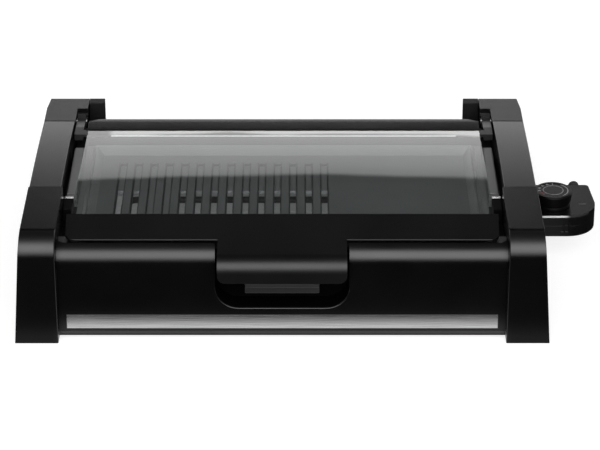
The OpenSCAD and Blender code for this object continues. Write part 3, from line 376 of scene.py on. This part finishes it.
# The heat shield's and the drip tray's sheets glow faintly: painted light, so that they show brighter
# through the plate's slots
DARK_SHEET = sheet_metal("dark_sheet", 0.06, 0.42, 1.0, 0.05)
TRAY_SHEET = sheet_metal("tray_sheet", 0.95, 0.6, 0.15, 0.055)
SHEATH = sheet_metal("element_sheath", 0.05, 0.5, 0.5)
RIM_METAL = sheet_metal("rim_metal", 0.21, 0.35)
PLATE = coated_plate()
RUBBER = rubber()
CERAMIC = ceramic()
BRASS = brass()
GLASS = clear_glass()
WHITE_INK = painted("white_ink", (0.46, 0.46, 0.46))
RING_INK = painted("ring_ink", (0.26, 0.26, 0.26))
DIM_INK = painted("dim_ink", (0.12, 0.12, 0.12))
RED_INK = painted("red_ink", (0.16, 0.035, 0.04))
SILVER_PAINT = silver_line()

FINISH = {
    "rubber_feet": RUBBER, "leg_screws": HARDWARE_STEEL, "hinge_pins": HARDWARE_STEEL,
    "left_foot_plate": INNER_PLASTIC, "right_foot_plate": INNER_PLASTIC,
    "base_floor": INNER_PLASTIC, "heat_shield": DARK_SHEET, "drip_tray": TRAY_SHEET,
    "plate_supports": HARDWARE_STEEL, "heating_element": SHEATH,
    "element_clips": HARDWARE_STEEL, "terminal_pins": BRASS, "terminal_bushes": CERAMIC,
    "terminal_guard": HARDWARE_STEEL, "probe_socket": HARDWARE_STEEL, "lid_glass": GLASS,
    "glass_gaskets": RUBBER, "left_hinge_arm": LINER_PLASTIC, "right_hinge_arm": LINER_PLASTIC,
    "lid_screws": HARDWARE_STEEL, "lid_bumpers": RUBBER, "control_trim": SILVER_PAINT,
    "pointer_mark": DIM_INK, "thermostat_body": CERAMIC, "contact_sleeves": BRASS,
    "sensor_probe": HARDWARE_STEEL, "cord_gland": RUBBER, "control_screws": HARDWARE_STEEL,
    "dial_ring": RING_INK, "knob_spindle": BRASS,
}
for name, finish in FINISH.items():
    nodes[name].data.materials.clear()
    nodes[name].data.materials.append(finish)


# Softened shells that stand for the CAD's sharp ones

FLAT_ANGLE = math.radians(0.6)     # faces closer than this are one flat face
BEVEL_ANGLE = math.radians(32)     # edges sharper than this are rounded
JOIN_WITHIN = 0.000004             # points closer than this, in metres, are one


def body_of(name):
    return next(b for b, members in frame["record"]["behaviour"]["bodies"].items() if name in members)


def clean_mesh(mesh, wide):
    """Joins the triangles of a CAD mesh into its flat faces, and marks the edges of the wide bevel."""
    bm = bmesh.new()
    bm.from_mesh(mesh)
    bmesh.ops.remove_doubles(bm, verts=bm.verts, dist=JOIN_WITHIN)
    bmesh.ops.dissolve_limit(bm, angle_limit=FLAT_ANGLE, verts=bm.verts, edges=bm.edges)
    for face in bm.faces:
        face.smooth = True
    for edge in bm.edges:
        edge.smooth = edge.is_manifold and edge.calc_face_angle(0) < BEVEL_ANGLE
    weight = bm.edges.layers.float.new("bevel_weight_edge")
    for edge in bm.edges:
        picked = wide is not None and not edge.smooth and all(wide(v.co) for v in edge.verts)
        edge[weight] = 1.0 if picked else 0.0
    bm.to_mesh(mesh)
    bm.free()


def soften(obj, width, segments, wide_width, wide_segments, clamp):
    """Rounds the sharp edges, the marked ones more, and keeps the flat faces flat in shading."""
    if wide_width:
        marked = obj.modifiers.new("wide", "BEVEL")
        marked.limit_method = "WEIGHT"
        marked.width = wide_width
        marked.segments = wide_segments
        marked.use_clamp_overlap = clamp
    if width:
        rounded = obj.modifiers.new("rounded", "BEVEL")
        rounded.limit_method = "ANGLE"
        rounded.angle_limit = BEVEL_ANGLE
        rounded.width = width
        rounded.segments = segments
        rounded.use_clamp_overlap = True
    flat = obj.modifiers.new("flat_faces", "WEIGHTED_NORMAL")
    flat.keep_sharp = True
    flat.weight = 100


def shell(name, material, width, segments=3, wide=None, wide_width=0.0, wide_segments=4, clamp=True):
    """A softened copy of a CAD node that stands for it; wide picks the points of its wider bevels."""
    obj = bpy.data.objects.new(name + "_shell", nodes[name].data.copy())
    bpy.context.scene.collection.objects.link(obj)
    clean_mesh(obj.data, wide)
    obj.data.materials.clear()
    obj.data.materials.append(material)
    soften(obj, width, segments, wide_width, wide_segments, clamp)
    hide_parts(name)
    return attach(obj, body_of(name))


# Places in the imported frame, in metres
BODY_X = -30.5 * MM       # the body's centre plane
PILLAR_Y = -170.5 * MM    # the pillars' front face
INNER_X = 222 * MM        # a pillar's inner face, from the centre plane
BLOCK_Y = 113.5 * MM      # the seam behind the pillar's front block, from the front face
CAP_Y = 291 * MM          # the seam in front of the hinge cap

# Where the points of the wider bevels lie
FACE_NEAR, FRONT_NEAR = 0.5 * MM, 20 * MM         # off a pillar's inner face, and behind its front face
POCKET_NEAR = 30 * MM                             # behind the front face
POCKET_LOW, POCKET_HIGH = 31 * MM, 59.5 * MM      # heights of the finger pocket's lower rim
SEAM_NEAR = 1.5 * MM                              # before or behind a seam
RIM_OVER = 1.5 * MM                               # over the ribs' tops
TONGUE_NEAR = 4 * MM                              # behind the front face
CONTROL_OVER, CONTROL_PAST = 59 * MM, 262 * MM    # height, and distance from the centre plane


def inner_front(point):
    """The pillars' upright front edges beside the panel."""
    return abs(abs(point.x - BODY_X) - INNER_X) < FACE_NEAR and point.y < PILLAR_Y + FRONT_NEAR


def pocket_rim(point):
    """The lower rim of the finger pocket."""
    return point.y < PILLAR_Y + POCKET_NEAR and POCKET_LOW < point.z < POCKET_HIGH


def cover_front(point):
    """The front edge of a handle cover, at its seam with the block."""
    return abs(point.y - PILLAR_Y - BLOCK_Y) < SEAM_NEAR


def cap_front(point):
    """The front edge of a hinge cap, at its seam with the cover."""
    return abs(point.y - PILLAR_Y - CAP_Y) < SEAM_NEAR


def plate_rim(point):
    """The upper edges of the plate's rim."""
    return point.z > RIB_TOP + RIM_OVER


def tongue_edge(point):
    """The front edge of the lid's tongue handle."""
    return point.y < PILLAR_Y + TONGUE_NEAR


def control_edge(point):
    """The upper outer edges of the control."""
    return point.z > CONTROL_OVER and point.x - BODY_X > CONTROL_PAST


# Edge widths of the plain bevels, and then of the wider ones
LEG_EDGE, LID_EDGE, KNOB_EDGE = 0.35 * MM, 0.4 * MM, 0.15 * MM
PART_EDGE, COVER_EDGE, LINER_EDGE, CASE_EDGE = 0.5 * MM, 0.6 * MM, 0.7 * MM, 0.8 * MM
CHAMFER, COVER_SEAM, CAP_SEAM, POCKET_EDGE = 2.6 * MM, 1.5 * MM, 1.2 * MM, 1.1 * MM
RIM_EDGE, TONGUE_EDGE, CASE_TOP = 0.5 * MM, 1.2 * MM, 1.0 * MM

for side in ("left", "right"):
    shell(side + "_leg", LEG_PLASTIC, LEG_EDGE, 2, inner_front, CHAMFER, 1)
for side in ("left", "right"):
    shell(side + "_handle_cover", COVER_PLASTIC, COVER_EDGE, 3, cover_front, COVER_SEAM)
for side in ("left", "right"):
    shell(side + "_hinge_cap", COVER_PLASTIC, COVER_EDGE, 3, cap_front, CAP_SEAM)
shell("front_panel", PANEL_PLASTIC, PART_EDGE, 3, pocket_rim, POCKET_EDGE, clamp=False)
shell("finger_pocket", POCKET_SHADE_PLASTIC, PART_EDGE)
shell("front_trim", TRIM_STEEL, 0.0)
shell("rear_panel", INNER_PLASTIC, PART_EDGE)
shell("deck_frame", INNER_PLASTIC, PART_EDGE)
for side in ("left", "right"):
    shell(side + "_side_rail", RAIL_PLASTIC, PART_EDGE)
plate = shell("grill_plate", PLATE, 0.0, 0, plate_rim, RIM_EDGE, 3)
shell("lid_front_panel", LID_PLASTIC, LID_EDGE, 3, tongue_edge, TONGUE_EDGE)
shell("handle_liner", LINER_PLASTIC, LINER_EDGE)
shell("lid_rear_bar", COVER_PLASTIC, COVER_EDGE)
shell("control_top_shell", CONTROL_PLASTIC, CASE_EDGE, 3, control_edge, CASE_TOP)
shell("control_bottom_shell", CONTROL_PLASTIC, CASE_EDGE)
shell("control_knob", KNOB_PLASTIC, KNOB_EDGE)

RIM_FLAT = 0.1 * MM       # the rim's level top lies within this of its highest point


def bare_rim(obj, metal):
    """The level top of the plate's rim is worn to bare metal."""
    obj.data.materials.append(metal)
    top = max(v.co.z for v in obj.data.vertices)
    for face in obj.data.polygons:
        if face.center.z > top - RIM_FLAT:
            face.material_index = 1


bare_rim(plate, RIM_METAL)


# Small pieces that the CAD leaves out

def piece(name, mesh, material, body):
    obj = bpy.data.objects.new(name, mesh)
    bpy.context.scene.collection.objects.link(obj)
    obj.data.materials.append(material)
    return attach(obj, body)


def box_mesh(name, low, high, rounding):
    """Rounded block between two corners."""
    bm = bmesh.new()
    bmesh.ops.create_cube(bm, size=1.0)
    size = Vector(high) - Vector(low)
    middle = (Vector(high) + Vector(low)) / 2
    for vertex in bm.verts:
        vertex.co = Vector(a * b for a, b in zip(vertex.co, size)) + middle
    bmesh.ops.bevel(bm, geom=bm.edges[:], offset=rounding, segments=2, affect="EDGES", profile=0.5)
    mesh = bpy.data.meshes.new(name)
    bm.to_mesh(mesh)
    bm.free()
    return mesh


# Clip in front of each grey rail, with a bright metal tongue on its rear end
CLIP_X0, CLIP_X1 = 212.6 * MM, 221.6 * MM
CLIP_Y0, CLIP_Y1 = PILLAR_Y + 98 * MM, PILLAR_Y + 125.5 * MM
CLIP_Z0, CLIP_Z1 = 83.9 * MM, 99 * MM
TONGUE_D = 4 * MM
TONGUE_SUNK, TONGUE_UP = 0.2 * MM, 0.8 * MM       # under and over the clip's top
CLIP_ROUND, TONGUE_ROUND = 0.6 * MM, 0.3 * MM


def rail_clips():
    for side, sign in (("left", -1), ("right", 1)):
        x0, x1 = sorted((BODY_X + sign * CLIP_X0, BODY_X + sign * CLIP_X1))
        block = box_mesh(side + "_rail_clip", (x0, CLIP_Y0, CLIP_Z0), (x1, CLIP_Y1, CLIP_Z1), CLIP_ROUND)
        piece(side + "_rail_clip", block, MATT_PLASTIC, "base")
        low = (x0, CLIP_Y1 - TONGUE_D / 2, CLIP_Z1 - TONGUE_SUNK)
        high = (x1, CLIP_Y1 + TONGUE_D / 2, CLIP_Z1 + TONGUE_UP)
        tongue = box_mesh(side + "_rail_tongue", low, high, TONGUE_ROUND)
        piece(side + "_rail_tongue", tongue, TRIM_STEEL, "base")


rail_clips()


# Black seal between the lid's rear bar and the top of the glass
SEAL_W, SEAL_T = 4.2 * MM, 0.5 * MM
SEAL_INSET, SEAL_ROUND = 1.0 * MM, 0.2 * MM       # short of the glass's side edges, and its edge radius


def glass_seal():
    bar = [v.co for v in nodes["lid_rear_bar"].data.vertices]
    glass = [v.co for v in nodes["lid_glass"].data.vertices]
    bar_y = min(v.y for v in bar)
    glass_z = max(v.z for v in glass)
    half = max(v.x for v in glass) - BODY_X - SEAL_INSET
    low = (BODY_X - half, bar_y - SEAL_W, glass_z)
    high = (BODY_X + half, bar_y, glass_z + SEAL_T)
    seal = box_mesh("glass_seal", low, high, SEAL_ROUND)
    piece("glass_seal", seal, MATT_PLASTIC, "lid")


glass_seal()


# Collar round the cord's gland, behind the control
COLLAR_AT = Vector((308.4 * MM + BODY_X, 69.2 * MM, 54.6 * MM))
COLLAR_R, COLLAR_HOLE, COLLAR_LONG = 5.6 * MM, 3.0 * MM, 6.4 * MM
COLLAR_EDGE, COLLAR_STEPS = 0.9 * MM, 40


def gland_collar():
    """A short rubber ring that lies along Y."""
    half = COLLAR_LONG / 2
    face_r, side = COLLAR_R - COLLAR_EDGE, half - COLLAR_EDGE
    section = ((COLLAR_HOLE, -half), (face_r, -half), (COLLAR_R, -side),
               (COLLAR_R, side), (face_r, half), (COLLAR_HOLE, half))
    bm = bmesh.new()
    rings = []
    for i in range(COLLAR_STEPS):
        a = 2 * math.pi * i / COLLAR_STEPS
        ring = [COLLAR_AT + Vector((r * math.cos(a), y, r * math.sin(a))) for r, y in section]
        rings.append([bm.verts.new(point) for point in ring])
    for a, b in zip(rings, rings[1:] + rings[:1]):
        for k in range(len(section)):
            n = (k + 1) % len(section)
            bm.faces.new((a[k], a[n], b[n], b[k]))
    bmesh.ops.recalc_face_normals(bm, faces=bm.faces[:])
    mesh = bpy.data.meshes.new("gland_collar")
    bm.to_mesh(mesh)
    bm.free()
    piece("gland_collar", mesh, RUBBER, "control")


gland_collar()


# Printing on the knob's face
KNOB_AT = Vector((281.4 * MM + BODY_X, 17.5 * MM, 76.1 * MM))   # middle of the knob's face
INK_T = 0.12 * MM
ARC_R, ARC_W, ARC_HALF = 15.4 * MM, 0.9 * MM, 54.0      # the last in degrees
ARC_STEPS, RED_STEPS = 28, 6
DIGIT_SIZE, DIGIT_BOLD, DIGIT_R = 5.4 * MM, 0.16 * MM, 15.0 * MM
# Each digit with its place round the knob, in degrees from +X
DIGITS = ((88, "1"), (112, "2"), (136, "3"), (160, "4"), (184, "5"))
RED_ANGLE, RED_R, RED_SIZE = 214.0, 13.6 * MM, (5.6 * MM, 3.4 * MM)


def flat_arc(name, radius, width, start, end, steps):
    """Thin raised band along an arc about the knob's middle; angles in degrees from +X."""
    bm = bmesh.new()
    rings = []
    for i in range(steps + 1):
        a = math.radians(start + (end - start) * i / steps)
        way = Vector((math.cos(a), math.sin(a), 0))
        inner, outer = KNOB_AT + way * (radius - width / 2), KNOB_AT + way * (radius + width / 2)
        up = Vector((0, 0, INK_T))
        rings.append([bm.verts.new(v) for v in (inner, outer, outer + up, inner + up)])
    for a, b in zip(rings, rings[1:]):
        for k in range(4):
            bm.faces.new((a[k], a[(k + 1) % 4], b[(k + 1) % 4], b[k]))
    bm.faces.new(rings[0][::-1])
    bm.faces.new(rings[-1])
    bmesh.ops.recalc_face_normals(bm, faces=bm.faces[:])
    mesh = bpy.data.meshes.new(name)
    bm.to_mesh(mesh)
    bm.free()
    return mesh


def digit_mesh(name, text, angle):
    """A raised digit whose foot points to the knob's middle."""
    curve = bpy.data.curves.new(name, "FONT")
    curve.body = text
    curve.size = DIGIT_SIZE
    curve.offset = DIGIT_BOLD
    curve.align_x = "CENTER"
    curve.align_y = "CENTER"
    curve.extrude = INK_T / 2
    maker = bpy.data.objects.new(name + "_text", curve)
    mesh = bpy.data.meshes.new_from_object(maker)
    bpy.data.objects.remove(maker)
    a = math.radians(angle)
    place = Vector((math.cos(a), math.sin(a), 0)) * DIGIT_R + Vector((0, 0, INK_T / 2))
    mesh.transform(Matrix.Translation(KNOB_AT + place) @ Matrix.Rotation(a - math.pi / 2, 4, "Z"))
    return mesh


def knob_print():
    arc = flat_arc("knob_arc", ARC_R, ARC_W, -ARC_HALF, ARC_HALF, ARC_STEPS)
    piece("knob_arc", arc, WHITE_INK, "knob")
    for angle, text in DIGITS:
        name = "knob_digit_" + text
        piece(name, digit_mesh(name, text, angle), WHITE_INK, "knob")
    half = math.degrees(RED_SIZE[0] / RED_R) / 2
    red = flat_arc("knob_off_mark", RED_R, RED_SIZE[1], RED_ANGLE - half, RED_ANGLE + half, RED_STEPS)
    piece("knob_off_mark", red, RED_INK, "knob")


knob_print()


# Floor, studio light and camera

FLOOR_SIZE = 40.0
FLOOR_GREY = 0.03        # what the object sees and reflects
GLOW = 0.80              # light of the pale paper close to the object, in its mirror images
GLOW_EDGE, GLOW_SOFT = 36 * MM, 18 * MM
GLOW_SIDE = 0.35         # share of it in front of the pillars
GLOW_TURN = 8 * MM       # soft step between the panel's share and the pillars'
FOOT_HALF_X, FOOT_HALF_Y, FOOT_Y = 265 * MM, 167.5 * MM, 6 * MM
FLOOR_WHITE = 0.785      # added for the camera, which sees a white floor with a soft shadow
FLOOR_SHADE = 0.42


def floor_glow(tree):
    """Strength of the pale paper's light, which fades away from the object's outline."""
    point = axis_parts(tree, object_point(tree))
    off_x = math_node(tree, "ABSOLUTE", math_node(tree, "SUBTRACT", point[0], BODY_X))
    off_y = math_node(tree, "ABSOLUTE", math_node(tree, "SUBTRACT", point[1], FOOT_Y))
    past_x = math_node(tree, "SUBTRACT", off_x, FOOT_HALF_X)
    past_y = math_node(tree, "SUBTRACT", off_y, FOOT_HALF_Y)
    near = below(tree, math_node(tree, "MAXIMUM", past_x, past_y), GLOW_EDGE, GLOW_SOFT)
    middle = below(tree, off_x, INNER_X, GLOW_TURN)
    share = math_node(tree, "ADD", times(tree, middle, 1.0 - GLOW_SIDE), GLOW_SIDE)
    return times(tree, times(tree, near, share), GLOW)


def floor_paper():
    """White with a soft shadow for the camera, and dark with a near glow for everything else."""
    material, tree, shader = new_material("floor_paper")
    tree.nodes.remove(shader)
    seen = add(tree, "ShaderNodeBsdfDiffuse", None, Color=grey(FLOOR_SHADE))
    shine = add(tree, "ShaderNodeEmission", None, Color=(1, 1, 1, 1), Strength=FLOOR_WHITE)
    white = add(tree, "ShaderNodeAddShader", None, i0=seen.outputs[0], i1=shine.outputs[0])
    tone = greys(tree, noise(tree, 3), FLOOR_GREY * 0.95, FLOOR_GREY)
    dark = add(tree, "ShaderNodeBsdfDiffuse", None, Color=tone)
    glow = add(tree, "ShaderNodeEmission", None, Color=(1, 1, 1, 1), Strength=floor_glow(tree))
    plain = add(tree, "ShaderNodeAddShader", None, i0=dark.outputs[0], i1=glow.outputs[0])
    by_camera(tree, plain, white, tree.nodes["Material Output"])
    return material


def by_camera(tree, plain, white, output):
    """Shows the camera the white shader and everything else the plain one."""
    camera_ray = add(tree, "ShaderNodeLightPath").outputs["Is Camera Ray"]
    mix = add(tree, "ShaderNodeMixShader", None, i0=camera_ray, i1=plain.outputs[0], i2=white.outputs[0])
    tree.links.new(mix.outputs[0], output.inputs["Surface"])


def floor():
    mesh = bpy.data.meshes.new("floor")
    half = FLOOR_SIZE / 2
    corners = [(-half, -half, 0), (half, -half, 0), (half, half, 0), (-half, half, 0)]
    mesh.from_pydata(corners, [], [(0, 1, 2, 3)])
    obj = bpy.data.objects.new("floor", mesh)
    bpy.context.scene.collection.objects.link(obj)
    obj.data.materials.append(floor_paper())


# The studio's areas are given in degrees of height and of turn, each with a soft step
ROOM, ROOM_TOP, ROOM_SOFT = 0.20, 35.0, 20.0      # plain room at the front and the sides
DARK = 0.045             # radiance from everywhere
# Softbox above the camera
BOX_LOW, BOX_HIGH, BOX_HALF, BOX_LIGHT = 9.0, 54.0, 38.0, 4.3
BOX_LOW_SOFT, BOX_SOFT = 6.0, 8.0
# White backdrop far behind the object, which fades upwards
BACK_FOOT, BACK_TOP, BACK_END, BACK_HALF = 7.0, 24.0, 26.0, 75.0
BACK_LIGHT, BACK_DIM = 1.45, 0.38
BACK_SOFT, BACK_SIDE_SOFT, BEHIND_SOFT = 1.5, 15.0, 20.0
# Grey card in front of it, which fades upwards, with a bright lower edge
CARD_HALF, CARD_LOW, CARD_HIGH = 5.7, 25.28, 26.2
CARD_FOOT, CARD_TOP, EDGE_LIGHT = 1.5, 0.58, 2.7
SCREEN_SOFT, CARD_SIDE_SOFT, CARD_TOP_SOFT = 0.5, 0.3, 0.06
EDGE_HALF, EDGE_SOFT, EDGE_SIDE_SOFT = 4.6, 0.03, 0.1


def studio_light(tree):
    """Radiance by direction: a dark room with a softbox in front, and a backdrop and a card behind."""
    parts = axis_parts(tree, add(tree, "ShaderNodeTexCoord").outputs["Generated"])
    height = times(tree, math_node(tree, "ARCSINE", parts[2]), math.degrees(1))
    turn = times(tree, math_node(tree, "ARCTAN2", parts[0], parts[1]), math.degrees(1))
    back_turn = math_node(tree, "ABSOLUTE", turn)
    front_turn = math_node(tree, "SUBTRACT", 180.0, back_turn)

    box = times(tree, above(tree, height, BOX_LOW, BOX_LOW_SOFT), below(tree, height, BOX_HIGH, BOX_SOFT))
    box = times(tree, box, below(tree, front_turn, BOX_HALF, BOX_SOFT))

    back = times(tree, below(tree, height, BACK_END, BACK_SOFT),
                 below(tree, back_turn, BACK_HALF, BACK_SIDE_SOFT))
    back = times(tree, ramp(tree, height, BACK_FOOT, BACK_TOP, BACK_LIGHT, BACK_DIM), back)
    screened = times(tree, above(tree, height, BACK_TOP, SCREEN_SOFT),
                     below(tree, back_turn, CARD_HALF, CARD_SIDE_SOFT))
    back = times(tree, back, rest_of(tree, screened))

    edge = times(tree, below(tree, height, CARD_LOW, EDGE_SOFT),
                 below(tree, back_turn, EDGE_HALF, EDGE_SIDE_SOFT))
    tone = math_node(tree, "ADD", ramp(tree, height, CARD_LOW, CARD_HIGH, CARD_FOOT, CARD_TOP),
                     times(tree, edge, EDGE_LIGHT - CARD_FOOT))
    card = times(tree, times(tree, below(tree, height, CARD_HIGH, CARD_TOP_SOFT), screened), tone)

    room = times(tree, below(tree, height, ROOM_TOP, ROOM_SOFT),
                 above(tree, back_turn, BACK_HALF, BEHIND_SOFT))
    room = times(tree, room, ROOM)

    light = math_node(tree, "ADD", times(tree, box, BOX_LIGHT), math_node(tree, "ADD", back, card))
    return math_node(tree, "ADD", light, math_node(tree, "ADD", room, DARK))


def studio():
    """World light: white for the camera, and for everything else a dark room with soft white areas."""
    world = bpy.data.worlds.new("studio")
    bpy.context.scene.world = world
    world.use_nodes = True
    tree = world.node_tree
    tree.nodes.clear()
    plain = add(tree, "ShaderNodeBackground", None, Color=(1, 1, 1, 1), Strength=studio_light(tree))
    white = add(tree, "ShaderNodeBackground", None, Color=(1, 1, 1, 1), Strength=1.0)
    by_camera(tree, plain, white, add(tree, "ShaderNodeOutputWorld"))


CAMERA_AT = Vector((-0.013, -2.4075, 1.287))
CAMERA_PITCH = math.radians(27.3)
CAMERA_LENS, SENSOR_W = 156.0, 36.0      # millimetres
CAMERA_END = 100.0       # metres


def camera():
    data = bpy.data.cameras.new("camera")
    data.lens = CAMERA_LENS
    data.sensor_width = SENSOR_W
    data.clip_end = CAMERA_END
    obj = bpy.data.objects.new("camera", data)
    bpy.context.scene.collection.objects.link(obj)
    obj.location = CAMERA_AT
    obj.rotation_euler = (math.pi / 2 - CAMERA_PITCH, 0, 0)
    bpy.context.scene.camera = obj


floor()
studio()
camera()
bpy.context.scene.view_settings.view_transform = "Standard"
